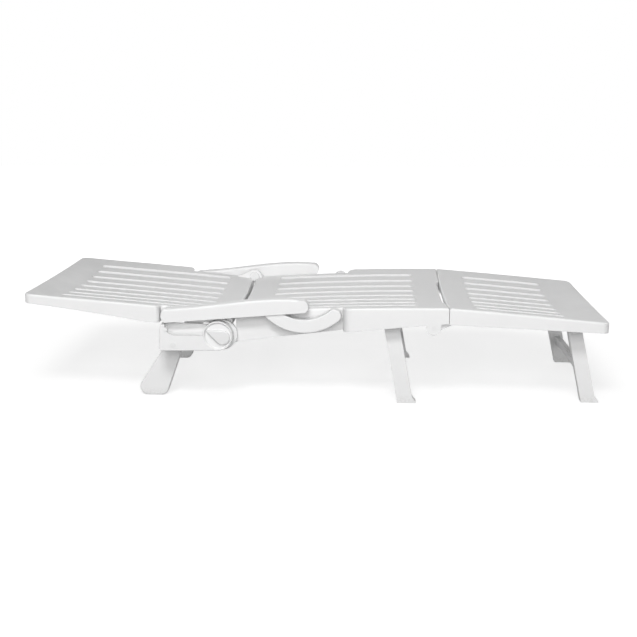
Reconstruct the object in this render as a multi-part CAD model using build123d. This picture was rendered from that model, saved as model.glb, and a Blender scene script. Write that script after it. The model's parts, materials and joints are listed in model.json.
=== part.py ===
import os
from math import hypot

from build123d import *

# Folding plastic sun lounger: three slotted panels hinged end to end, with armrests that stay
# level on curved links, a leg frame under the seat, one under the leg rest and two rear legs.
# Millimetres. X runs from head to foot, Y across, Z up from the floor.

# Overall panel sizes
LENGTH = 1900.0
WIDTH = 700.0
WAIST_STEP = 42.0
HEAD_HEIGHT = 370.5
HIP_HEIGHT = 313.5
KNEE_HEIGHT = 338.0
FOOT_HEIGHT = 294.0
HIP_SPLIT_X = -262.0
KNEE_SPLIT_X = 438.0
HIP_GAP = 12.0
KNEE_GAP = 1.6
KNEE_NOTCH_DEPTH = 8.0
KNEE_NOTCH_REST = 155.0
KNEE_NOTCH_RAMP = 24.0
KNEE_NOTCH_RADIUS = 16.0
KNEE_NOTCH_FLOOR = 293.0
WAIST_REAR_X = -504.0
WAIST_FRONT_X = 96.0
CORNER_RADIUS = 26.0
WAIST_REAR_RADIUS = 16.0
WAIST_FRONT_RADIUS = 30.0
WAIST_ROOT_RADIUS = 3.0
EDGE_RADIUS = 7.0

# Moulded walls of the panels
WALL = 4.5
BACK_CROWN = 1.5
SEAT_CROWN = 6.5
LEG_REST_CROWN = 1.5
BACK_DISH = 28.0
SEAT_DISH = 26.0
LEG_REST_DISH = 26.0
DISH_FADE = 120.0
END_DISH = 0.1
TOP_STATIONS = 25
TOP_DEGREE = 3
TOP_TOLERANCE = 0.05
TOP_LINES = 9
TOP_MARGIN = 20.0
SECTION_DEPTH = 190.0

# Skirt bottoms, as heights above the floor: those at head and foot lie a spare length past the ends
BACK_SKIRT_HEAD = 343.0
BACK_SKIRT_MIDDLE = 309.0
BACK_SKIRT_BEND = 279.0
BACK_SKIRT_BEND_X = -545.0
BACK_SKIRT_HIP = 266.0
SEAT_SKIRT_HIP = 206.0
SEAT_SKIRT_MIDDLE = 251.0
SEAT_SKIRT_KNEE = 284.0
LEG_REST_SKIRT_KNEE = 281.0
LEG_REST_SKIRT_FOOT = 257.0

# Slots in the panels
SLOT_COUNT = 8
SLOT_RIM = 87.5
SLOT_WIDTH = 26.0
LIP_WALL = 3.0
LIP_DEPTH = 12.0
BACK_SLOTS_IN = (102.0, 88.0)
SEAT_SLOTS_IN = (100.0, 98.0)
LEG_REST_SLOTS_IN = (90.0, 130.0)

# Running clearances
PIN_PLAY = 0.05
SIDE_PLAY = 1.0
REST_PLAY = 0.4

# Hip hinge
HIP_X = -262.0
HIP_Z = 310.0
EAR_THICKNESS = 10.0
BACK_EAR_RADIUS = 27.0
BACK_EAR_REACH = 64.0
BACK_EAR_TIP_RADIUS = 4.0
SEAT_EAR_RADIUS = 24.0
SEAT_EAR_ROOT = (-226.0, 288.0, 10.0)
EAR_CLEARANCE = 2.5
HIP_PIN_RADIUS = 7.0
HIP_HEAD_RADIUS = 18.0
HIP_HEAD_LENGTH = 8.0
HIP_HEAD_EDGE = 4.0

# Armrest linkage: hip, armrest pivots and link pivot form a parallelogram
ARM_REAR_X = -468.0
ARM_REAR_Z = 318.0
LINK_X = 68.0
LINK_Z = 305.0
ARM_WIDTH = 41.0
ARM_GAP = 3.0
ARM_WALL = 4.0
ARM_TAIL_X = -498.0
ARM_TAIL_BOTTOM = (-487.0, 277.5)
ARM_TAIL_TOP = (-485.0, 323.5)
ARM_TAIL_SLOPE = 0.05
ARM_CREST = (-112.0, 360.0)
ARM_NOSE_TOP = (-38.0, 357.0)
ARM_NOSE_SLOPE = -0.15
ARM_NOSE_TIP = (-16.0, 335.0)
ARM_NOSE_BOTTOM = (-27.0, 316.0)
ARM_EDGE_RADIUS = 8.0
ARM_PIN_RADIUS = 4.5
ARM_PIN_BITE = 2.5
ARM_BOSS_RADIUS = 9.0
LINK_WIDTH = 44.0
LINK_SAG = 40.0
LINK_EDGE_RADIUS = 4.0
LINK_PLAY = 1.5
LINK_PIN_COVER = 6.0
PIN_BOSS_DEPTH = 11.0

# Hub, rear carriers and rear legs
HUB_X = -312.0
HUB_Z = 234.5
HUB_RADIUS = 49.0
HUB_DISH = 7.0
HUB_DISH_RADIUS = 46.0
HUB_FLOOR_RADIUS = 41.0
HUB_COLLAR = (-303.0, 233.5, 51.0)
HUB_COLLAR_DEPTH = 13.0
LOBE_RADIUS = 44.0
LOBE_ROOT = (-218.0, 232.0, 15.0)
LOBE_TOP = 247.0
LOBE_THICKNESS = 11.0
CARRIER_REACH = 100.0
CARRIER_WALL = 6.0
CARRIER_ROOF = 12.0
CARRIER_REAR_X = -508.0
CARRIER_FRONT_X = -360.0
CARRIER_BOTTOM = 182.0
CARRIER_TOP = 241.0
CARRIER_LEAN = 5.0
CARRIER_CREST_REAR = 271.0
CARRIER_CREST_FRONT = 265.0
CARRIER_ROUNDING = (8.0, 6.0, 0.0, 0.0)
CARRIER_EDGE = 3.0
HORN_X = -489.0
HORN_RADIUS = 9.0
HORN_REACH = 8.0
SCOOP_X = -452.0
SCOOP_Z = 271.0
SCOOP_RADIUS = 36.0
PEG = (-484.0, 256.0, 6.5)
PEG_LENGTH = 2.5
BOLT_RADIUS = 6.0
BOLT_HEAD_RADIUS = 11.0
BOLT_HEAD_LENGTH = 7.0
BOLT_SINK = 3.0
BOLT_END = 2.0
NUT_RADIUS = 11.0
NUT_LENGTH = 8.0
CAP_THICKNESS = 9.0
CAP_EDGE = 4.0
CAP_ROUND = (-297.0, 229.0, 24.0)
CAP_TIP = (-344.0, 249.5, 5.0)
REAR_LEG_X = -460.0
REAR_LEG_Z = 204.0
REAR_LEG_SET_IN = 9.0
REAR_LEG_THICKNESS = 36.0
REAR_LEG_EDGE = 5.0
REAR_LEG_HEAD = 24.0
REAR_FOOT_BACK = (-570.0, 28.0, 28.0)
REAR_FOOT_FRONT = (-525.0, 24.0, 24.0)
REAR_PIN_RADIUS = 6.0
REAR_PIN_BOSS = 12.0
REAR_PIN_HEAD = 9.0
REAR_PIN_HEAD_LENGTH = 2.0

# Knee hinge
KNEE_X = 389.0
KNEE_Z = 270.0
KNEE_LUG_RADIUS = 24.0
KNEE_LUG_RISE = 30.0
KNEE_LUG_THICKNESS = 10.0
KNEE_ARM_RADIUS = 18.0
KNEE_ARM_ROOT = (461.5, 300.0, 14.0)
KNEE_ARM_THICKNESS = 11.0
KNEE_ARM_WINDOW_TOP = 322.0
KNEE_PIN_RADIUS = 7.0

# Leg frames
MIDDLE_LEG_X = 251.0
MIDDLE_LEG_Z = 282.0
MIDDLE_FOOT_X = (277.0, 330.0)
MIDDLE_LEG_SET_IN = 42.0
MIDDLE_LEG_TOP = 25.0
FRONT_LEG_BACK = 96.0
FRONT_LEG_Z = 258.0
FRONT_FOOT_BACK = (60.0, 11.0)
FRONT_LEG_SET_IN = 121.0
FRONT_LEG_TOP = 22.5
LEG_THICKNESS = 34.0
LEG_PIN_RADIUS = 6.0
TOE_REACH = 9.0
TOE_HEIGHT = 20.0
TOE_EDGE = 4.0
CHEEK_THICKNESS = 9.0
CHEEK_ROOT = 25.0
CHEEK_RADIUS = 19.0
CHEEK_COVER = 1.0
BRACE_RISE = 20.0
BRACE_LOW = 70.0
BRACE_HIGH = 104.0
BRACE_THICKNESS = 16.0

# Places that follow from the sizes above
HEAD_X = -LENGTH / 2
FOOT_X = LENGTH / 2
HALF_WIDTH = WIDTH / 2
HALF_WAIST = HALF_WIDTH - WAIST_STEP
KNEE_NOTCH_HALF = HALF_WIDTH - KNEE_NOTCH_REST
KNEE_NOTCH_FLAT = KNEE_NOTCH_HALF - 2 * KNEE_NOTCH_RAMP
SLOT_PITCH = (WIDTH - 2 * SLOT_RIM) / (SLOT_COUNT - 1)
BACK_END_X = HIP_SPLIT_X - HIP_GAP / 2
SEAT_REAR_X = HIP_SPLIT_X + HIP_GAP / 2
SEAT_END_X = KNEE_SPLIT_X - KNEE_GAP / 2
LEG_REST_REAR_X = KNEE_SPLIT_X + KNEE_GAP / 2
BACK_SLOTS_X = (HEAD_X + BACK_SLOTS_IN[0], HIP_SPLIT_X - BACK_SLOTS_IN[1])
SEAT_SLOTS_X = (HIP_SPLIT_X + SEAT_SLOTS_IN[0], KNEE_SPLIT_X - SEAT_SLOTS_IN[1])
LEG_REST_SLOTS_X = (KNEE_SPLIT_X + LEG_REST_SLOTS_IN[0], FOOT_X - LEG_REST_SLOTS_IN[1])
MIDDLE_LEG_INNER = HALF_WAIST - MIDDLE_LEG_SET_IN
FRONT_LEG_X = FOOT_X - FRONT_LEG_BACK
FRONT_FOOT_X = (FOOT_X - FRONT_FOOT_BACK[0], FOOT_X - FRONT_FOOT_BACK[1])
FRONT_LEG_INNER = HALF_WIDTH - FRONT_LEG_SET_IN
CARRIER_OUTER = HALF_WIDTH
CARRIER_INNER = HALF_WAIST - CARRIER_REACH
REAR_LEG_INNER = CARRIER_INNER + REAR_LEG_SET_IN
ARM_FRONT_X = ARM_REAR_X + LINK_X - HIP_X
ARM_FRONT_Z = ARM_REAR_Z + LINK_Z - HIP_Z
ARM_INNER = HALF_WAIST + ARM_GAP
ARM_OUTER = ARM_INNER + ARM_WIDTH
HIGH = 600.0
SPARE = 40.0
ARM_TOP_EDGE = 300.0
ARM_PIN_OUTER = ARM_OUTER - ARM_WALL + ARM_PIN_BITE
LINK_INNER = ARM_INNER + ARM_WALL + LINK_PLAY
LINK_OUTER = ARM_OUTER - ARM_WALL - LINK_PLAY
LINK_PIN_OUTER = LINK_OUTER - LINK_PIN_COVER
HUB_FLOOR = CARRIER_OUTER - HUB_DISH
BOLT_SEAT = HUB_FLOOR - BOLT_HEAD_LENGTH - BOLT_SINK
REAR_LEG_OUTER = REAR_LEG_INNER + REAR_LEG_THICKNESS

# Hip hinge stack, from the panel's side inwards: seat ear, backrest ear, pin head
SEAT_EAR_INNER = HALF_WAIST - SIDE_PLAY - EAR_THICKNESS
BACK_EAR_INNER = SEAT_EAR_INNER - SIDE_PLAY - EAR_THICKNESS
HIP_HEAD_INNER = BACK_EAR_INNER - HIP_HEAD_LENGTH

# Knee hinge stack, from the skirt inwards: seat lug, leg rest arm
KNEE_LUG_INNER = HALF_WIDTH - KNEE_LUG_THICKNESS
KNEE_ARM_OUTER = KNEE_LUG_INNER - SIDE_PLAY
KNEE_ARM_INNER = KNEE_ARM_OUTER - KNEE_ARM_THICKNESS


def sided(side, inner, outer):
    """Y limits of a piece that lies between two distances from the middle, on one side."""
    return (inner, outer) if side > 0 else (-outer, -inner)


def plate(outline, limits):
    """Solid with an XZ outline between two Y values."""
    low, high = limits
    return Pos(0, high, 0) * extrude(Plane.XZ * outline, high - low)


def disc(x, z, radius):
    """Round outline about a point of the XZ plane."""
    return Pos(x, z) * Circle(radius)


def rod(x, z, radius, limits):
    """Round bar along Y."""
    return plate(disc(x, z, radius), limits)


def side_face(body, side_sign):
    """Outermost face of a piece on one side of the middle."""
    return body.faces().sort_by(Axis.Y)[-1 if side_sign > 0 else 0]


def hull(*rounds):
    """Outline drawn tight round several circles, each given as x, z and radius."""
    edges = ShapeList()
    for x, z, radius in rounds:
        edges += disc(x, z, radius).edges()
    return make_hull(edges)


def box(x_limits, y_limits, z_limits):
    """Block between limits on each axis."""
    size = [high - low for low, high in (x_limits, y_limits, z_limits)]
    low_corner = (x_limits[0], y_limits[0], z_limits[0])
    return Pos(*low_corner) * Box(*size, align=(Align.MIN, Align.MIN, Align.MIN))


def dish_share(x):
    """Share of a panel's full dish at a place along it: the dish fades towards head and foot."""
    inward = min(x - HEAD_X, FOOT_X - x) / DISH_FADE
    inward = max(0.0, min(1.0, inward))
    return END_DISH + (1 - END_DISH) * inward ** 2 * (3 - 2 * inward)


def top_height(line, crown, dish, x, y):
    """Height of a panel's top: crowned along its length, dished across."""
    (start_x, start_z), (end_x, end_z) = line
    share = (x - start_x) / (end_x - start_x)
    rim = start_z + share * (end_z - start_z) + 4 * crown * share * (1 - share)
    return rim - dish * dish_share(x) * (1 - (y / HALF_WIDTH) ** 2)


def crowned_block(line, crown, dish, drop):
    """Solid below a panel's top, lowered by drop."""
    start_x = line[0][0] - TOP_MARGIN
    step_x = (line[1][0] + TOP_MARGIN - start_x) / (TOP_STATIONS - 1)
    start_y = -HALF_WIDTH - TOP_MARGIN
    step_y = -2 * start_y / (TOP_LINES - 1)
    rows = []
    for station in range(TOP_STATIONS):
        x = start_x + station * step_x
        row = []
        for place in range(TOP_LINES):
            y = start_y + place * step_y
            row.append(Vector(x, y, top_height(line, crown, dish, x, y) - drop))
        rows.append(row)
    top = Face.make_surface_from_array_of_points(rows, TOP_TOLERANCE, None, TOP_DEGREE, TOP_DEGREE)
    return extrude(top, SECTION_DEPTH, dir=(0, 0, -1))


def prism(outline):
    """Tall solid that stands on a plan outline at the floor."""
    return extrude(outline, HIGH)


def slots_plan(x_limits, grow):
    """Plan of a panel's row of slots, with each slot widened by grow on every side."""
    slots = Sketch()
    length = x_limits[1] - x_limits[0]
    for index in range(SLOT_COUNT):
        y = (index - (SLOT_COUNT - 1) / 2) * SLOT_PITCH
        middle = (x_limits[0] + x_limits[1]) / 2
        slots += Pos(middle, y) * SlotOverall(length + 2 * grow, SLOT_WIDTH + 2 * grow)
    return slots


def panel(plan, side, ends, line, crown, dish, slots_x):
    """Moulded panel: skirts and end walls under a dished top, with lipped slots through it."""
    blank = crowned_block(line, crown, dish, 0) & prism(plan)
    rims = blank.faces().sort_by(Axis.Z)[-1].outer_wire().edges()
    outer = fillet(rims, EDGE_RADIUS) & plate(side, (-WIDTH, WIDTH))
    hollow = crowned_block(line, crown, dish, WALL) & prism(offset(plan, -WALL))
    hollow &= box((ends[0] + WALL, ends[1] - WALL), (-WIDTH, WIDTH), (0, HIGH))
    lips = prism(slots_plan(slots_x, LIP_WALL)) - crowned_block(line, crown, dish, LIP_DEPTH)
    return outer - (hollow - lips) - prism(slots_plan(slots_x, 0))


def rounded(points, radii):
    """Closed outline through points, each corner rounded by its own radius, 0 for sharp."""
    face = make_face(Polyline(*points, close=True))
    for (x, y), radius in zip(points, radii):
        if radius:
            corner = face.vertices().sort_by_distance((x, y, 0))[0]
            face = fillet(corner, radius)
    return face


def above(last, first):
    """Corners that close a side outline high above a panel, well past both its ends."""
    return [
        (max(last[0], first[0]) + SPARE, last[1]),
        (max(last[0], first[0]) + SPARE, HIGH),
        (min(last[0], first[0]) - SPARE, HIGH),
        (min(last[0], first[0]) - SPARE, first[1]),
    ]


def back_skirt(x):
    """Height of the backrest's lower edge beside the armrest."""
    share = (x - BACK_SKIRT_BEND_X) / (BACK_END_X - BACK_SKIRT_BEND_X)
    return BACK_SKIRT_BEND + share * (BACK_SKIRT_HIP - BACK_SKIRT_BEND)


def mirrored(points):
    """Points of one side followed by their mirror images across the middle, in reverse order."""
    return points + [(x, -y) for x, y in reversed(points)]


def backrest_panel():
    """Backrest with rounded head corners, a waist beside the armrests and hinge ears."""
    half_plan = [
        (HEAD_X, -HALF_WIDTH),
        (WAIST_REAR_X, -HALF_WIDTH),
        (WAIST_REAR_X, -HALF_WAIST),
        (BACK_END_X, -HALF_WAIST),
    ]
    half_radii = [CORNER_RADIUS, WAIST_REAR_RADIUS, WAIST_ROOT_RADIUS, 0]
    plan = rounded(mirrored(half_plan), half_radii + half_radii[::-1])
    skirt_head = (HEAD_X - SPARE, BACK_SKIRT_HEAD)
    skirt_middle = ((HEAD_X + WAIST_REAR_X) / 2, BACK_SKIRT_MIDDLE)
    skirt_bend = (BACK_SKIRT_BEND_X, BACK_SKIRT_BEND)
    skirt_hip = (BACK_END_X, BACK_SKIRT_HIP)
    side = make_face([
        ThreePointArc(skirt_head, skirt_middle, skirt_bend),
        Polyline(skirt_bend, skirt_hip, *above(skirt_hip, skirt_head), skirt_head),
    ])
    line = ((HEAD_X, HEAD_HEIGHT), (HIP_SPLIT_X, HIP_HEIGHT))
    body = panel(plan, side, (HEAD_X, BACK_END_X), line, BACK_CROWN, BACK_DISH, BACK_SLOTS_X)
    inside = crowned_block(line, BACK_CROWN, BACK_DISH, CHEEK_COVER)
    tip_x = HIP_X - BACK_EAR_REACH
    tip_z = top_height(line, BACK_CROWN, BACK_DISH, tip_x, BACK_EAR_INNER) - BACK_EAR_TIP_RADIUS
    ear = hull((HIP_X, HIP_Z, BACK_EAR_RADIUS), (tip_x, tip_z, BACK_EAR_TIP_RADIUS))
    for side_sign in (-1, 1):
        seat_ear = sided(side_sign, SEAT_EAR_INNER - SIDE_PLAY, HALF_WAIST + SIDE_PLAY)
        pin_head = sided(side_sign, HIP_HEAD_INNER - SIDE_PLAY, BACK_EAR_INNER)
        pin_boss = sided(side_sign, HALF_WAIST - PIN_BOSS_DEPTH, HALF_WAIST)
        body -= rod(HIP_X, HIP_Z, SEAT_EAR_RADIUS + EAR_CLEARANCE, seat_ear)
        body += plate(ear, sided(side_sign, BACK_EAR_INNER, BACK_EAR_INNER + EAR_THICKNESS))
        body -= rod(HIP_X, HIP_Z, HIP_HEAD_RADIUS + EAR_CLEARANCE, pin_head)
        body -= rod(HIP_X, HIP_Z, HIP_PIN_RADIUS + PIN_PLAY, sided(side_sign, HIP_HEAD_INNER, HALF_WAIST))
        body += rod(ARM_REAR_X, ARM_REAR_Z, ARM_BOSS_RADIUS, pin_boss) & inside
        body -= rod(ARM_REAR_X, ARM_REAR_Z, ARM_PIN_RADIUS + PIN_PLAY, pin_boss)
    return body


def cheeks(x, z, top, inner, side_sign):
    """Pair of plates that hang from a panel's top and hold a leg's pin between them."""
    outline = hull((x, z, CHEEK_RADIUS), (x, top, CHEEK_RADIUS))
    leg_outer = inner + LEG_THICKNESS
    pair = plate(outline, sided(side_sign, inner - SIDE_PLAY - CHEEK_ROOT, inner - SIDE_PLAY))
    outer = leg_outer + SIDE_PLAY
    pair += plate(outline, sided(side_sign, outer, outer + CHEEK_THICKNESS))
    return pair


def leg_pin_limits(inner, side_sign):
    """Y limits of a leg's pin, from one cheek's far face to the other's."""
    reach = SIDE_PLAY + CHEEK_THICKNESS
    return sided(side_sign, inner - reach, inner + LEG_THICKNESS + reach)


def seat_panel():
    """Seat with waist, hub lobes, hip ears, knee lugs and the middle legs' cheeks."""
    half_plan = [
        (SEAT_REAR_X, -HALF_WAIST),
        (WAIST_FRONT_X, -HALF_WAIST),
        (WAIST_FRONT_X, -HALF_WIDTH),
        (SEAT_END_X, -HALF_WIDTH),
        (SEAT_END_X, -KNEE_NOTCH_HALF),
        (SEAT_END_X - KNEE_NOTCH_DEPTH, KNEE_NOTCH_RAMP - KNEE_NOTCH_HALF),
    ]
    half_radii = [0, WAIST_ROOT_RADIUS, WAIST_FRONT_RADIUS, 0, KNEE_NOTCH_RADIUS, KNEE_NOTCH_RADIUS]
    plan = rounded(mirrored(half_plan), half_radii + half_radii[::-1])
    skirt_hip = (SEAT_REAR_X, SEAT_SKIRT_HIP)
    skirt_middle = (WAIST_FRONT_X, SEAT_SKIRT_MIDDLE)
    skirt_knee = (SEAT_END_X, SEAT_SKIRT_KNEE)
    side = make_face([
        ThreePointArc(skirt_hip, skirt_middle, skirt_knee),
        Polyline(skirt_knee, *above(skirt_knee, skirt_hip), skirt_hip),
    ])
    line = ((HIP_SPLIT_X, HIP_HEIGHT), (KNEE_SPLIT_X, KNEE_HEIGHT))
    body = panel(plan, side, (SEAT_REAR_X, SEAT_END_X), line, SEAT_CROWN, SEAT_DISH, SEAT_SLOTS_X)
    ear = hull((HIP_X, HIP_Z, SEAT_EAR_RADIUS), SEAT_EAR_ROOT)
    lobe = hull((HUB_X, HUB_Z, LOBE_RADIUS), LOBE_ROOT)
    lobe &= Pos(HUB_X, LOBE_TOP - HIGH / 2) * Rectangle(HIGH, HIGH)
    lug = hull((KNEE_X, KNEE_Z, KNEE_LUG_RADIUS), (KNEE_X, KNEE_Z + KNEE_LUG_RISE, KNEE_LUG_RADIUS))
    inside = crowned_block(line, SEAT_CROWN, SEAT_DISH, CHEEK_COVER)
    lip_floor = crowned_block(line, SEAT_CROWN, SEAT_DISH, LIP_DEPTH)
    slot_space = prism(slots_plan(SEAT_SLOTS_X, 0)) - lip_floor
    window_x = (SEAT_END_X - 2 * WALL, SEAT_END_X + WALL)
    notch_x = (SEAT_END_X - KNEE_NOTCH_DEPTH - 2 * WALL, SEAT_END_X)
    body -= box(notch_x, (-KNEE_NOTCH_FLAT, KNEE_NOTCH_FLAT), (0, KNEE_NOTCH_FLOOR))
    for side_sign in (-1, 1):
        back_ear = sided(side_sign, HIP_HEAD_INNER - SIDE_PLAY, SEAT_EAR_INNER)
        lobe_limits = sided(side_sign, HALF_WAIST - LOBE_THICKNESS, HALF_WAIST)
        pin_boss = sided(side_sign, HALF_WAIST - PIN_BOSS_DEPTH, HALF_WAIST)
        arm_window = sided(side_sign, KNEE_ARM_INNER - SIDE_PLAY, KNEE_LUG_INNER)
        lug_limits = sided(side_sign, KNEE_LUG_INNER, HALF_WIDTH)
        leg_pin = leg_pin_limits(MIDDLE_LEG_INNER, side_sign)
        body -= rod(HIP_X, HIP_Z, BACK_EAR_RADIUS + EAR_CLEARANCE, back_ear)
        body += plate(ear, sided(side_sign, SEAT_EAR_INNER, SEAT_EAR_INNER + EAR_THICKNESS))
        body -= rod(HIP_X, HIP_Z, HIP_PIN_RADIUS + PIN_PLAY, sided(side_sign, SEAT_EAR_INNER, HALF_WAIST))
        body += plate(lobe, lobe_limits)
        body -= rod(HUB_X, HUB_Z, BOLT_RADIUS + PIN_PLAY, lobe_limits)
        body += rod(LINK_X, LINK_Z, ARM_BOSS_RADIUS, pin_boss)
        body -= rod(LINK_X, LINK_Z, ARM_PIN_RADIUS + PIN_PLAY, pin_boss)
        body -= box(window_x, arm_window, (0, KNEE_ARM_WINDOW_TOP))
        body += plate(lug, lug_limits)
        body -= rod(KNEE_X, KNEE_Z, KNEE_PIN_RADIUS + PIN_PLAY, lug_limits)
        leg_cheeks = cheeks(MIDDLE_LEG_X, MIDDLE_LEG_Z, KNEE_HEIGHT, MIDDLE_LEG_INNER, side_sign)
        body += (leg_cheeks & inside) - slot_space
        body -= rod(MIDDLE_LEG_X, MIDDLE_LEG_Z, LEG_PIN_RADIUS + PIN_PLAY, leg_pin)
    return body


def leg_rest_panel():
    """Leg rest with rounded foot corners, knee arms and the front legs' cheeks."""
    half_plan = [(LEG_REST_REAR_X, -HALF_WIDTH), (FOOT_X, -HALF_WIDTH)]
    half_radii = [0, CORNER_RADIUS]
    plan = rounded(mirrored(half_plan), half_radii + half_radii[::-1])
    skirt_knee = (LEG_REST_REAR_X, LEG_REST_SKIRT_KNEE)
    skirt_foot = (FOOT_X + SPARE, LEG_REST_SKIRT_FOOT)
    side = make_face(Polyline(skirt_knee, skirt_foot, *above(skirt_foot, skirt_knee), close=True))
    line = ((KNEE_SPLIT_X, KNEE_HEIGHT), (FOOT_X, FOOT_HEIGHT))
    ends = (LEG_REST_REAR_X, FOOT_X)
    body = panel(plan, side, ends, line, LEG_REST_CROWN, LEG_REST_DISH, LEG_REST_SLOTS_X)
    arm = hull((KNEE_X, KNEE_Z, KNEE_ARM_RADIUS), KNEE_ARM_ROOT)
    inside = crowned_block(line, LEG_REST_CROWN, LEG_REST_DISH, CHEEK_COVER)
    notch_x = (LEG_REST_REAR_X, LEG_REST_REAR_X + 2 * WALL)
    body -= box(notch_x, (-KNEE_NOTCH_FLAT, KNEE_NOTCH_FLAT), (0, KNEE_NOTCH_FLOOR))
    for side_sign in (-1, 1):
        arm_limits = sided(side_sign, KNEE_ARM_INNER, KNEE_ARM_OUTER)
        leg_pin = leg_pin_limits(FRONT_LEG_INNER, side_sign)
        body += plate(arm, arm_limits)
        body -= rod(KNEE_X, KNEE_Z, KNEE_PIN_RADIUS + PIN_PLAY, arm_limits)
        body += cheeks(FRONT_LEG_X, FRONT_LEG_Z, FOOT_HEIGHT, FRONT_LEG_INNER, side_sign) & inside
        body -= rod(FRONT_LEG_X, FRONT_LEG_Z, LEG_PIN_RADIUS + PIN_PLAY, leg_pin)
    return body


def armrest_outline(inset, drop):
    """Side view of an armrest, rising to a rounded nose: drawn inset, its lower edge dropped."""
    tail_x = ARM_TAIL_X + inset
    tail_bottom = (ARM_TAIL_BOTTOM[0] + inset, ARM_TAIL_BOTTOM[1] - drop)
    tail_top = (ARM_TAIL_TOP[0] + inset, ARM_TAIL_TOP[1] - inset)
    tail_middle = (tail_x, (tail_bottom[1] + tail_top[1]) / 2)
    crest = (ARM_CREST[0], ARM_CREST[1] - inset)
    nose_top = (ARM_NOSE_TOP[0] - inset, ARM_NOSE_TOP[1] - inset)
    nose_tip = (ARM_NOSE_TIP[0] - inset, ARM_NOSE_TIP[1])
    nose_bottom = (ARM_NOSE_BOTTOM[0] - inset, ARM_NOSE_BOTTOM[1] - drop)
    slopes = ((-1, -ARM_NOSE_SLOPE), (-1, -ARM_TAIL_SLOPE))
    return make_face([
        Line(tail_bottom, nose_bottom),
        ThreePointArc(nose_bottom, nose_tip, nose_top),
        Spline(nose_top, crest, tail_top, tangents=slopes),
        ThreePointArc(tail_top, tail_middle, tail_bottom),
    ])


def armrest(side_sign):
    """Armrest: a channel open below, with a boss for its rear pin and cheeks for its front pin."""
    body = plate(armrest_outline(0, 0), sided(side_sign, ARM_INNER, ARM_OUTER))
    long_edges = body.edges().filter_by(lambda edge: edge.length > ARM_TOP_EDGE)
    body = fillet(long_edges.filter_by(lambda edge: edge.center().Z > ARM_REAR_Z), ARM_EDGE_RADIUS)
    inner_limits = sided(side_sign, ARM_INNER + ARM_WALL, ARM_OUTER - ARM_WALL)
    channel = plate(armrest_outline(ARM_WALL, ARM_WALL), inner_limits)
    body -= channel - rod(ARM_REAR_X, ARM_REAR_Z, ARM_BOSS_RADIUS, inner_limits)
    pin_limits = sided(side_sign, ARM_INNER, ARM_PIN_OUTER)
    body -= rod(ARM_REAR_X, ARM_REAR_Z, ARM_PIN_RADIUS + PIN_PLAY, pin_limits)
    body -= rod(ARM_FRONT_X, ARM_FRONT_Z, ARM_PIN_RADIUS + PIN_PLAY, pin_limits)
    return body


def arm_link(side_sign):
    """Curved link, bored from inside for the pin in the seat and through for the armrest's pin."""
    middle = ((ARM_FRONT_X + LINK_X) / 2, (ARM_FRONT_Z + LINK_Z) / 2 - LINK_SAG)
    arc = ThreePointArc((ARM_FRONT_X, ARM_FRONT_Z), middle, (LINK_X, LINK_Z))
    limits = sided(side_sign, LINK_INNER, LINK_OUTER)
    blind_limits = sided(side_sign, LINK_INNER, LINK_PIN_OUTER)
    body = plate(SlotArc(arc, LINK_WIDTH), limits)
    body = fillet(side_face(body, side_sign).edges(), LINK_EDGE_RADIUS)
    body -= rod(ARM_FRONT_X, ARM_FRONT_Z, ARM_PIN_RADIUS + PIN_PLAY, limits)
    body -= rod(LINK_X, LINK_Z, ARM_PIN_RADIUS + PIN_PLAY, blind_limits)
    return body


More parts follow.
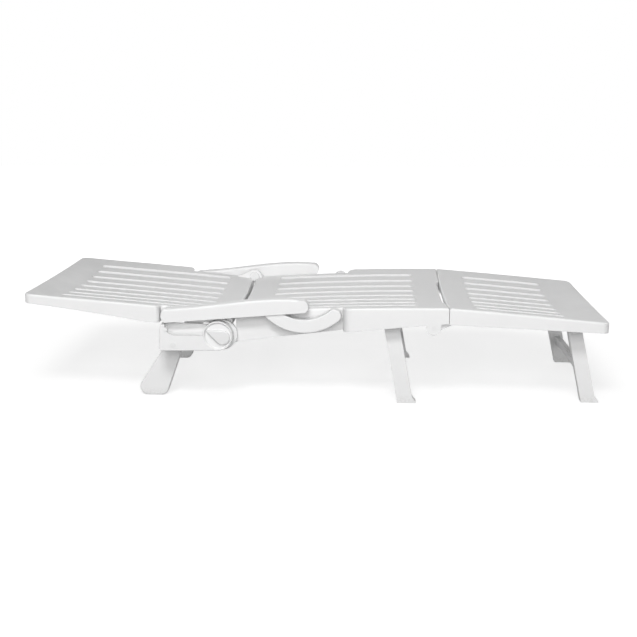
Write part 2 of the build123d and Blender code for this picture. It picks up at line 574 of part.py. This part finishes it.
def rear_carrier(side_sign):
    """Bracket with a dished hub, a scoop outside, room below for a leg and a horn for the backrest."""
    horn_z = back_skirt(HORN_X) - REST_PLAY - HORN_RADIUS
    corners = [
        (CARRIER_REAR_X, CARRIER_BOTTOM),
        (CARRIER_REAR_X + CARRIER_LEAN, CARRIER_CREST_REAR),
        (HUB_X, CARRIER_CREST_FRONT),
        (HUB_X, HUB_Z - HUB_RADIUS),
    ]
    side = rounded(corners, CARRIER_ROUNDING) + disc(HUB_X, HUB_Z, HUB_RADIUS)
    flank = HALF_WAIST + SIDE_PLAY
    outer = sided(side_sign, flank, CARRIER_OUTER)
    inner = sided(side_sign, CARRIER_INNER, flank)
    inner_x = (CARRIER_REAR_X + CARRIER_LEAN, CARRIER_FRONT_X)
    body = plate(side, outer)
    body = fillet(side_face(body, side_sign).edges(), CARRIER_EDGE)
    body -= scoop(side_sign) - rod(HUB_X, HUB_Z, HUB_RADIUS, outer)
    body -= hub_dish(side_sign)
    body += rod(*HUB_COLLAR, sided(side_sign, flank, flank + HUB_COLLAR_DEPTH))
    body += box(inner_x, inner, (CARRIER_BOTTOM, CARRIER_TOP))
    hollow_x = (inner_x[0] + CARRIER_WALL, inner_x[1] - CARRIER_WALL)
    hollow_y = sided(side_sign, CARRIER_INNER + CARRIER_WALL, CARRIER_OUTER - CARRIER_WALL)
    hollow_z = (0, CARRIER_TOP - CARRIER_ROOF)
    leg_path = sided(side_sign, REAR_LEG_INNER - SIDE_PLAY, REAR_LEG_OUTER + SIDE_PLAY)
    body -= box(hollow_x, hollow_y, hollow_z)
    body -= box((CARRIER_REAR_X - SPARE, HUB_X), leg_path, hollow_z)
    body += rod(HORN_X, horn_z, HORN_RADIUS, sided(side_sign, HALF_WAIST - HORN_REACH, flank + REST_PLAY))
    body += rod(*PEG, sided(side_sign, flank, CARRIER_OUTER + PEG_LENGTH))
    pin_boss = sided(side_sign, REAR_LEG_OUTER + SIDE_PLAY, CARRIER_OUTER)
    pin_limits = sided(side_sign, CARRIER_INNER, CARRIER_OUTER)
    body += rod(REAR_LEG_X, REAR_LEG_Z, REAR_PIN_BOSS, pin_boss)
    body -= rod(REAR_LEG_X, REAR_LEG_Z, REAR_PIN_RADIUS + PIN_PLAY, pin_limits)
    body -= rod(HUB_X, HUB_Z, BOLT_RADIUS + PIN_PLAY, outer)
    body -= rod(HUB_X, HUB_Z, BOLT_HEAD_RADIUS + SIDE_PLAY, sided(side_sign, BOLT_SEAT, CARRIER_OUTER))
    return body


def scoop(side_sign):
    """Rounded trough along a carrier's upper outer edge, as a solid to take away."""
    length = HUB_X - SCOOP_X
    trough = Rot(0, 90, 0) * Cylinder(SCOOP_RADIUS, length, align=(Align.CENTER, Align.CENTER, Align.MIN))
    return Pos(SCOOP_X, side_sign * CARRIER_OUTER, SCOOP_Z) * (trough + Sphere(SCOOP_RADIUS))


def hub_dish(side_sign):
    """Shallow cone in the hub's outer face, as a solid to take away."""
    cone = Cone(HUB_DISH_RADIUS, HUB_FLOOR_RADIUS, HUB_DISH, align=(Align.CENTER, Align.CENTER, Align.MIN))
    return Pos(HUB_X, side_sign * CARRIER_OUTER, HUB_Z) * Rot(90 * side_sign, 0, 0) * cone


def hub_cap(side_sign):
    """Drop-shaped cover over the hub's bolt."""
    body = plate(hull(CAP_ROUND, CAP_TIP), sided(side_sign, HUB_FLOOR, HUB_FLOOR + CAP_THICKNESS))
    return fillet(side_face(body, side_sign).edges(), CAP_EDGE)


def hub_bolt(side_sign):
    """Bolt through a carrier's hub and the seat's lobe."""
    inner = HALF_WAIST - LOBE_THICKNESS - NUT_LENGTH - BOLT_END
    shank = rod(HUB_X, HUB_Z, BOLT_RADIUS, sided(side_sign, inner, BOLT_SEAT))
    head_limits = sided(side_sign, BOLT_SEAT, BOLT_SEAT + BOLT_HEAD_LENGTH)
    return shank + rod(HUB_X, HUB_Z, BOLT_HEAD_RADIUS, head_limits)


def hub_nut(side_sign):
    """Nut on the inner face of the seat's lobe."""
    outline = Pos(HUB_X, HUB_Z) * RegularPolygon(NUT_RADIUS, 6)
    inner = HALF_WAIST - LOBE_THICKNESS - NUT_LENGTH
    limits = sided(side_sign, inner, inner + NUT_LENGTH)
    return plate(outline, limits) - rod(HUB_X, HUB_Z, BOLT_RADIUS + PIN_PLAY, limits)


def rear_leg(side_sign):
    """Paddle that widens to a rounded foot, flat where it stands."""
    outline = hull((REAR_LEG_X, REAR_LEG_Z, REAR_LEG_HEAD), REAR_FOOT_BACK, REAR_FOOT_FRONT)
    limits = sided(side_sign, REAR_LEG_INNER, REAR_LEG_OUTER)
    body = plate(outline, limits)
    body = fillet(side_face(body, 1).edges() + side_face(body, -1).edges(), REAR_LEG_EDGE)
    return body - rod(REAR_LEG_X, REAR_LEG_Z, REAR_PIN_RADIUS + PIN_PLAY, limits)


def leg_frame(pivot, foot_x, inner, top_radius):
    """Two leaning legs with toes, joined by an arched brace."""
    sole = Line((foot_x[0], 0), (foot_x[1], 0))
    leg = make_hull(disc(*pivot, top_radius).edges() + sole.edges())
    lean = (foot_x[1] - pivot[0] - top_radius) / pivot[1]
    toe_tip = foot_x[1] + TOE_REACH
    toe_top = (foot_x[1] - lean * TOE_HEIGHT, TOE_HEIGHT)
    toe = make_face(Polyline((foot_x[0], 0), (toe_tip, 0), (toe_tip, TOE_EDGE), toe_top, close=True))
    frame = brace(pivot, (sum(foot_x) / 2, 0), inner)
    for side_sign in (-1, 1):
        limits = sided(side_sign, inner, inner + LEG_THICKNESS)
        frame += plate(leg + toe, limits)
        frame -= rod(*pivot, LEG_PIN_RADIUS + PIN_PLAY, limits)
    return frame


def brace(pivot, foot, inner):
    """Arched bar across a leg frame, standing in the plane of the legs."""
    length = hypot(pivot[0] - foot[0], pivot[1] - foot[1])
    up = ((pivot[0] - foot[0]) / length, (pivot[1] - foot[1]) / length)
    plane = Plane(origin=(foot[0], 0, foot[1]), x_dir=(0, 1, 0), z_dir=(up[1], 0, -up[0]))
    reach = inner + LEG_THICKNESS / 2
    outline = make_face([
        ThreePointArc((-reach, BRACE_LOW), (0, BRACE_LOW + BRACE_RISE), (reach, BRACE_LOW)),
        Line((reach, BRACE_LOW), (reach, BRACE_HIGH)),
        ThreePointArc((reach, BRACE_HIGH), (0, BRACE_HIGH + BRACE_RISE), (-reach, BRACE_HIGH)),
        Line((-reach, BRACE_HIGH), (-reach, BRACE_LOW)),
    ])
    return extrude(plane * outline, BRACE_THICKNESS / 2, both=True)


def pins(side_sign):
    """The hinge pins of one side, by name."""
    hip_limits = sided(side_sign, HIP_HEAD_INNER, SEAT_EAR_INNER + EAR_THICKNESS)
    hip_head_limits = sided(side_sign, HIP_HEAD_INNER, BACK_EAR_INNER - PIN_PLAY)
    hip = rod(HIP_X, HIP_Z, HIP_PIN_RADIUS, hip_limits)
    hip_head = rod(HIP_X, HIP_Z, HIP_HEAD_RADIUS, hip_head_limits)
    hip += fillet(side_face(hip_head, -side_sign).edges(), HIP_HEAD_EDGE)
    rear_limits = sided(side_sign, CARRIER_INNER, CARRIER_OUTER)
    rear_head_limits = sided(side_sign, CARRIER_OUTER, CARRIER_OUTER + REAR_PIN_HEAD_LENGTH)
    rear = rod(REAR_LEG_X, REAR_LEG_Z, REAR_PIN_RADIUS, rear_limits)
    rear += rod(REAR_LEG_X, REAR_LEG_Z, REAR_PIN_HEAD, rear_head_limits)
    boss_inner = HALF_WAIST - PIN_BOSS_DEPTH
    knee_limits = sided(side_sign, KNEE_ARM_INNER, HALF_WIDTH)
    arm_rear_limits = sided(side_sign, boss_inner, ARM_PIN_OUTER)
    arm_front_limits = sided(side_sign, ARM_INNER, ARM_PIN_OUTER)
    link_limits = sided(side_sign, boss_inner, LINK_PIN_OUTER)
    middle_limits = leg_pin_limits(MIDDLE_LEG_INNER, side_sign)
    front_limits = leg_pin_limits(FRONT_LEG_INNER, side_sign)
    return {
        "hip_pin": hip,
        "knee_pin": rod(KNEE_X, KNEE_Z, KNEE_PIN_RADIUS, knee_limits),
        "armrest_rear_pin": rod(ARM_REAR_X, ARM_REAR_Z, ARM_PIN_RADIUS, arm_rear_limits),
        "armrest_front_pin": rod(ARM_FRONT_X, ARM_FRONT_Z, ARM_PIN_RADIUS, arm_front_limits),
        "link_pin": rod(LINK_X, LINK_Z, ARM_PIN_RADIUS, link_limits),
        "rear_leg_pin": rear,
        "middle_leg_pin": rod(MIDDLE_LEG_X, MIDDLE_LEG_Z, LEG_PIN_RADIUS, middle_limits),
        "front_leg_pin": rod(FRONT_LEG_X, FRONT_LEG_Z, LEG_PIN_RADIUS, front_limits),
    }


def main():
    """Write every piece to its own file."""
    middle_pivot = (MIDDLE_LEG_X, MIDDLE_LEG_Z)
    front_pivot = (FRONT_LEG_X, FRONT_LEG_Z)
    pieces = {
        "backrest_panel": backrest_panel(),
        "seat_panel": seat_panel(),
        "leg_rest_panel": leg_rest_panel(),
        "middle_leg_frame": leg_frame(middle_pivot, MIDDLE_FOOT_X, MIDDLE_LEG_INNER, MIDDLE_LEG_TOP),
        "front_leg_frame": leg_frame(front_pivot, FRONT_FOOT_X, FRONT_LEG_INNER, FRONT_LEG_TOP),
        "hub_bolts": Compound(children=[hub_bolt(-1), hub_bolt(1)]),
        "hub_nuts": Compound(children=[hub_nut(-1), hub_nut(1)]),
    }
    makers = {
        "armrest": armrest,
        "arm_link": arm_link,
        "rear_carrier": rear_carrier,
        "hub_cap": hub_cap,
        "rear_leg": rear_leg,
    }
    for side_name, side_sign in (("right", -1), ("left", 1)):
        for name, make in makers.items():
            pieces[f"{name}_{side_name}"] = make(side_sign)
        for name, pin in pins(side_sign).items():
            pieces[f"{name}_{side_name}"] = pin
    os.makedirs("parts", exist_ok=True)
    for name, piece in pieces.items():
        export_step(piece, f"parts/{name}.step")


if __name__ == "__main__":
    main()
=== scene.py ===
"""Dresses the reclining sun lounger in white moulded plastic and zinc plate, in a pale studio."""
import json
import math

import bpy
from mathutils import Euler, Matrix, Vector


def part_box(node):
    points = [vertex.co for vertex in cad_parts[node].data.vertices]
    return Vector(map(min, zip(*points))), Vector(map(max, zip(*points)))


# The view, found from the panels' corners and edges in the photograph; places are in metres
FRAME_PIXELS = 637
FOCAL_PIXELS = 1002.0
SENSOR_WIDTH = 36.0
CAMERA_PLACE = (0.181, -3.495, 1.045)
CAMERA_YAW = math.radians(2.98)
CAMERA_PITCH = math.radians(13.34)

# The floor: what it throws back on the lounger, what the camera sees, and a glow that grows outwards
FLOOR_HALF = 9.0
FLOOR_BOUNCE = (0.36, 0.36, 0.36, 1.0)
FLOOR_SEEN = (0.42, 0.42, 0.42, 1.0)
FLOOR_ROUGHNESS = 0.9
GLOW_NEAR = 0.70
GLOW_FAR = 1.0
GLOW_START = 1.0
GLOW_END = 2.6

# The light: the sky's strength in front and behind, and each lamp's place, size and power in watts
PURE_WHITE = (1.0, 1.0, 1.0, 1.0)
SKY_FRONT = 0.25
SKY_BACK = 0.13
KEY = ((-0.3, -3.7, 3.9), (1.4, 1.0), 110.0)
FILL = ((0.2, -5.2, 2.3), (6.0, 2.2), 144.0)
SKIM = ((0.2, -5.2, 0.5), (6.0, 0.7), 26.0)
BACK = ((0.3, 5.0, 1.7), (5.5, 1.6), 105.0)
LIGHT_TARGET = (0.0, 0.0, 0.28)

# Finishes: each pair of linear colours is the lighter and the darker shade that a surface drifts between
PLASTIC = ((0.80, 0.80, 0.80, 1.0), (0.77, 0.77, 0.77, 1.0))
CAP_PLASTIC = ((0.74, 0.74, 0.74, 1.0), (0.71, 0.71, 0.71, 1.0))
NYLON = ((0.78, 0.78, 0.78, 1.0), (0.74, 0.74, 0.74, 1.0))
ZINC = ((0.62, 0.62, 0.64, 1.0), (0.50, 0.50, 0.53, 1.0))
# Painted highlight: a brighter white painted on the panels' slot walls and undersides
PAINTED_HIGHLIGHT_WHITE = (0.90, 0.90, 0.90, 1.0)
SCUFF_GREY = (0.42, 0.41, 0.39, 1.0)
PLASTIC_IOR = 1.49

# The lowest and highest roughness of each finish
PLASTIC_GLOSS = (0.38, 0.48)
CAP_GLOSS = (0.32, 0.42)
NYLON_GLOSS = (0.34, 0.44)
FOOT_GLOSS = (0.40, 0.52)
ZINC_GLOSS = (0.28, 0.45)

# Noise patterns: how fine, to a metre, then how many finer layers and how strong each of them is
MOTTLE = (9.0, 3.0, 0.55)
GLOSS_DRIFT = (14.0, 4.0, 0.6)
GRAIN = (1000.0, 2.0, 0.6)
SHADE_AND_DULL_NOISE = (7.0, 5.0, 0.65)
SCUFFS = (150.0, 6.0, 0.7)
ZINC_MOTTLE = (160.0, 3.0, 0.55)
ZINC_DRIFT = (220.0, 4.0, 0.6)

# How far the mould's grain stands out, and how far edges are softened
GRAIN_DEPTH = 0.00011
SOFT_EDGE = 0.0012

# Painted shade on the level tops, with duller gloss there: the upward tilt at which it starts and is
# full, its patches, and how much it dulls
SHADE_AND_DULL_STEEP = 0.80
SHADE_AND_DULL_LEVEL = 0.97
SHADE_AND_DULL_PATCH = (0.35, 0.65)
SHADE_AND_DULL_LEAST = 0.70
TOP_DULLING = 0.12
# The painted-shade grey of a level top at places along the lounger, in metres from its middle
PAINTED_TOP_SHADE_GREYS = ((-0.95, 0.625), (-0.26, 0.80), (0.44, 0.745), (0.95, 0.715))
# How wide the panels' rim is beside the slotted field
PLAIN_RIM = 0.065

# Scuffs: how high above the ground they end, how they thicken, and how strong they are at the sole
SCUFF_HEIGHT = 0.030
SCUFF_PATCH = (0.42, 0.68)
SCUFF_STRENGTH = 0.55

# Nodes that are lain on, and nodes that stand on the ground
LAIN_ON = ("backrest_panel", "seat_panel", "leg_rest_panel")
STANDING = ("middle_leg_frame", "front_leg_frame", "rear_leg_left", "rear_leg_right")


class Bench:
    """Adds nodes to one node tree. Each input is a plain value or another node's output."""

    def __init__(self, tree):
        self.tree = tree

    def feed(self, socket, value):
        """Links an output to a socket, or sets the socket to a plain value."""
        if isinstance(value, bpy.types.NodeSocket):
            self.tree.links.new(value, socket)
        else:
            socket.default_value = value

    def add(self, kind, **inputs):
        """New node with its inputs given by name, with underscores for spaces."""
        node = self.tree.nodes.new(kind)
        for name, value in inputs.items():
            self.feed(node.inputs[name.replace("_", " ")], value)
        return node

    def sums(self, operation, *values, clamp=False):
        """Result of a sum on one to three numbers."""
        node = self.tree.nodes.new("ShaderNodeMath")
        node.operation = operation
        node.use_clamp = clamp
        for socket, value in zip(node.inputs, values):
            self.feed(socket, value)
        return node.outputs[0]

    def span(self, value, ends, low=0.0, high=1.0):
        """Value that goes evenly from low to high between two ends, and stays there past them."""
        start, end = ends
        node = self.add("ShaderNodeMapRange", From_Min=start, From_Max=end, To_Min=low, To_Max=high)
        self.feed(node.inputs["Value"], value)
        return node.outputs["Result"]

    def mix(self, share, first, second):
        """Colour that goes from the first to the second with a share of 0 to 1."""
        node = self.tree.nodes.new("ShaderNodeMix")
        node.data_type = "RGBA"
        self.feed(node.inputs[0], share)
        self.feed(node.inputs[6], first)
        self.feed(node.inputs[7], second)
        return node.outputs[2]

    def noise(self, place, pattern):
        """Soft random value of 0 to 1 at a place."""
        per_metre, layers, strength = pattern
        node = self.add("ShaderNodeTexNoise", Scale=per_metre, Detail=layers, Roughness=strength)
        self.feed(node.inputs["Vector"], place)
        return node.outputs["Fac"]

    def axis(self, vector, name):
        """One axis of a vector."""
        return self.add("ShaderNodeSeparateXYZ", Vector=vector).outputs[name]

    def coordinates(self, kind):
        """The surface's own coordinates of one kind."""
        return self.add("ShaderNodeTexCoord").outputs[kind]


def start_material(name):
    """New material, its shader, a bench for its nodes and the place on the object."""
    material = bpy.data.materials.new(name)
    material.use_nodes = True
    shader = material.node_tree.nodes["Principled BSDF"]
    bench = Bench(material.node_tree)
    return material, shader, bench, bench.coordinates("Object")


def mottle(bench, place, pattern, shades):
    """Colour that drifts slowly between two shades over a surface, as in a large moulding."""
    light, shade = shades
    return bench.mix(bench.noise(place, pattern), light, shade)


def gloss(bench, place, pattern, limits):
    """Roughness that wanders between two limits."""
    low, high = limits
    return bench.span(bench.noise(place, pattern), (0.0, 1.0), low, high)


def moulded_skin(bench, place, shader):
    """What every moulding has: softened edges and the fine etched grain of its mould, as bump."""
    edge = bench.add("ShaderNodeBevel", Radius=SOFT_EDGE)
    bump = bench.add("ShaderNodeBump", Strength=1.0, Distance=GRAIN_DEPTH)
    bench.feed(bump.inputs["Normal"], edge.outputs["Normal"])
    bench.feed(bump.inputs["Height"], bench.noise(place, GRAIN))
    bench.feed(shader.inputs["Normal"], bump.outputs["Normal"])
    shader.inputs["IOR"].default_value = PLASTIC_IOR


def scuffed(bench, place, colour):
    """Grey rubbed patches that fade out a short way above the sole of a foot."""
    height = bench.axis(place, "Z")
    fade = bench.span(height, (0.0, SCUFF_HEIGHT), SCUFF_STRENGTH, 0.0)
    patch = bench.span(bench.noise(place, SCUFFS), SCUFF_PATCH)
    return bench.mix(bench.sums("MULTIPLY", fade, patch), colour, SCUFF_GREY)


def painted_top_shade(bench, place):
    """Painted shade on the level tops: a grey that is darkest at the head and lightest at the hip."""
    head = PAINTED_TOP_SHADE_GREYS[0][0]
    foot = PAINTED_TOP_SHADE_GREYS[-1][0]
    ramp = bench.add("ShaderNodeValToRGB", Fac=bench.span(bench.axis(place, "X"), (head, foot)))
    stops = ramp.color_ramp.elements
    while len(stops) < len(PAINTED_TOP_SHADE_GREYS):
        stops.new(1.0)
    for stop, (along, grey) in zip(stops, PAINTED_TOP_SHADE_GREYS):
        stop.position = (along - head) / (foot - head)
        stop.color = (grey, grey, grey, 1.0)
    return ramp.outputs["Color"]


def panel_plastic_with_painted_light(name, slotted_half):
    """The panels' satin plastic: white on the walls, a painted highlight of brighter white on the slot
    walls and undersides, and painted shade of grey, with duller gloss, in patches where it lies level."""
    material, shader, bench, place = start_material(name)
    level = bench.span(bench.axis(bench.coordinates("Normal"), "Z"), (SHADE_AND_DULL_STEEP, SHADE_AND_DULL_LEVEL))
    patch = bench.span(bench.noise(place, SHADE_AND_DULL_NOISE), SHADE_AND_DULL_PATCH, SHADE_AND_DULL_LEAST)
    # Painted shade and duller gloss: the mask for the level tops, broken into patches
    painted_shade_and_dulling = bench.sums("MULTIPLY", level, patch)
    slotted = bench.sums("COMPARE", bench.axis(place, "Y"), 0.0, slotted_half)
    # Painted highlight: the walls and undersides in the slotted field are painted a brighter white
    painted_highlight_mask = bench.sums("SUBTRACT", slotted, level, clamp=True)
    colour = bench.mix(painted_highlight_mask, mottle(bench, place, MOTTLE, PLASTIC), PAINTED_HIGHLIGHT_WHITE)
    # Painted shade: the level tops are painted grey, darker towards the head end
    colour = bench.mix(painted_shade_and_dulling, colour, painted_top_shade(bench, place))
    drift = gloss(bench, place, GLOSS_DRIFT, PLASTIC_GLOSS)
    roughness = bench.sums("MULTIPLY_ADD", painted_shade_and_dulling, TOP_DULLING, drift)
    bench.feed(shader.inputs["Base Color"], colour)
    bench.feed(shader.inputs["Roughness"], roughness)
    moulded_skin(bench, place, shader)
    return material


def moulded_plastic(name, shades, limits, standing=False):
    """Satin moulded plastic, scuffed at the foot of what stands on the ground."""
    material, shader, bench, place = start_material(name)
    colour = mottle(bench, place, MOTTLE, shades)
    if standing:
        colour = scuffed(bench, place, colour)
    bench.feed(shader.inputs["Base Color"], colour)
    bench.feed(shader.inputs["Roughness"], gloss(bench, place, GLOSS_DRIFT, limits))
    moulded_skin(bench, place, shader)
    return material


def zinc_plate(name):
    """Zinc-plated steel with a faint drift in tone."""
    material, shader, bench, place = start_material(name)
    bench.feed(shader.inputs["Base Color"], mottle(bench, place, ZINC_MOTTLE, ZINC))
    bench.feed(shader.inputs["Roughness"], gloss(bench, place, ZINC_DRIFT, ZINC_GLOSS))
    shader.inputs["Metallic"].default_value = 1.0
    return material


def dress_nodes(nodes, slots):
    """Gives every CAD node the finish of its slot, with painted shade and painted highlights on what is
    lain on, and scuffs where it stands on the ground.
    """
    by_slot = {
        "shell_plastic": moulded_plastic("shell_plastic", PLASTIC, PLASTIC_GLOSS),
        "cap_plastic": moulded_plastic("cap_plastic", CAP_PLASTIC, CAP_GLOSS),
        "pin_plastic": moulded_plastic("pin_plastic", NYLON, NYLON_GLOSS),
        "steel": zinc_plate("steel"),
    }
    panel_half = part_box("seat_panel")[1][1]
    panel_finish = panel_plastic_with_painted_light("panel_plastic", panel_half - PLAIN_RIM)
    foot_finish = moulded_plastic("foot_plastic", PLASTIC, FOOT_GLOSS, standing=True)
    by_node = {name: panel_finish for name in LAIN_ON}
    by_node.update({name: foot_finish for name in STANDING})
    for name, node in nodes.items():
        finish = by_node.get(name, by_slot[slots[name]])
        node.data.materials.clear()
        node.data.materials.append(finish)


def seen_directly(bench):
    """Is 1 for what the camera sees straight on, in gloss and through glass, and 0 for plain bounces."""
    rays = bench.add("ShaderNodeLightPath").outputs
    straight = bench.sums("MAXIMUM", rays["Is Camera Ray"], rays["Is Glossy Ray"])
    return bench.sums("MAXIMUM", straight, rays["Is Transmission Ray"])


def floor_material():
    """Pale floor that throws light back, and shows as white with a soft shadow round the lounger."""
    material, shader, bench, place = start_material("studio_floor")
    shader.inputs["Base Color"].default_value = FLOOR_BOUNCE
    shader.inputs["Roughness"].default_value = FLOOR_ROUGHNESS
    shader.inputs["Specular IOR Level"].default_value = 0.0
    away = bench.add("ShaderNodeVectorMath")
    away.operation = "LENGTH"
    bench.feed(away.inputs[0], place)
    strength = bench.span(away.outputs["Value"], (GLOW_START, GLOW_END), GLOW_NEAR, GLOW_FAR)
    matt = bench.add("ShaderNodeBsdfDiffuse", Color=FLOOR_SEEN)
    glow = bench.add("ShaderNodeEmission", Color=PURE_WHITE, Strength=strength)
    pale = bench.add("ShaderNodeAddShader")
    bench.feed(pale.inputs[0], matt.outputs[0])
    bench.feed(pale.inputs[1], glow.outputs[0])
    choice = bench.add("ShaderNodeMixShader", Fac=seen_directly(bench))
    bench.feed(choice.inputs[1], shader.outputs[0])
    bench.feed(choice.inputs[2], pale.outputs[0])
    output = material.node_tree.nodes["Material Output"]
    bench.feed(output.inputs["Surface"], choice.outputs[0])
    return material


def sky():
    """World that is brighter in front of the lounger than behind it, and shows as plain white."""
    world = bpy.data.worlds.new("studio")
    bpy.context.scene.world = world
    world.use_nodes = True
    bench = Bench(world.node_tree)
    depth = bench.axis(bench.coordinates("Generated"), "Y")
    light = bench.span(depth, (-1.0, 1.0), SKY_FRONT, SKY_BACK)
    strength = bench.span(seen_directly(bench), (0.0, 1.0), light)
    background = world.node_tree.nodes["Background"]
    background.inputs["Color"].default_value = PURE_WHITE
    bench.feed(background.inputs["Strength"], strength)


def show(name, data):
    """New object in the scene's own collection."""
    piece = bpy.data.objects.new(name, data)
    bpy.context.scene.collection.objects.link(piece)
    return piece


def lamp(name, settings):
    """Broad soft lamp aimed at the lounger."""
    place, size, power = settings
    data = bpy.data.lights.new(name, "AREA")
    data.shape = "RECTANGLE"
    data.size, data.size_y = size
    data.energy = power
    piece = show(name, data)
    piece.location = place
    aim = Vector(LIGHT_TARGET) - Vector(place)
    piece.rotation_euler = aim.to_track_quat("-Z", "Y").to_euler()
    return piece


def floor():
    """Flat square that the lounger stands on."""
    half = FLOOR_HALF
    mesh = bpy.data.meshes.new("floor")
    corners = [(-half, -half, 0), (half, -half, 0), (half, half, 0), (-half, half, 0)]
    mesh.from_pydata(corners, [], [(0, 1, 2, 3)])
    mesh.materials.append(floor_material())
    show("floor", mesh)


def studio():
    """Floor, sky, a high lamp in front, a broad one for the sides, a low one for the legs, and
    one behind that lights the far side without a glare on the panels."""
    floor()
    sky()
    lamp("key", KEY)
    lamp("fill", FILL)
    lamp("skim", SKIM)
    lamp("back", BACK).visible_glossy = False


def camera():
    """Camera at the photograph's place and angle."""
    data = bpy.data.cameras.new("camera")
    data.sensor_width = SENSOR_WIDTH
    data.lens = FOCAL_PIXELS / FRAME_PIXELS * SENSOR_WIDTH
    eye = show("camera", data)
    eye.location = CAMERA_PLACE
    eye.rotation_euler = Euler((math.pi / 2 - CAMERA_PITCH, 0.0, CAMERA_YAW))
    bpy.context.scene.camera = eye


with open("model.json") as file:
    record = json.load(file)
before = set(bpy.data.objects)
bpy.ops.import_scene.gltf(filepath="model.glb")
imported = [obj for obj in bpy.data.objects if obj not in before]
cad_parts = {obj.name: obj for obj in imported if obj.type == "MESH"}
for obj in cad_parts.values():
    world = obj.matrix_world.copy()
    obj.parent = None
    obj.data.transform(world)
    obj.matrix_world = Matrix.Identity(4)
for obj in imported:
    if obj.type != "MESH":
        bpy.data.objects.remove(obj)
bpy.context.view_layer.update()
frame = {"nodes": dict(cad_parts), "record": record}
slot_of = {part["node"]: part["material_slot"] for part in frame["record"]["subparts"]}
bpy.context.scene.view_settings.view_transform = "Standard"
dress_nodes(frame["nodes"], slot_of)
studio()
camera()
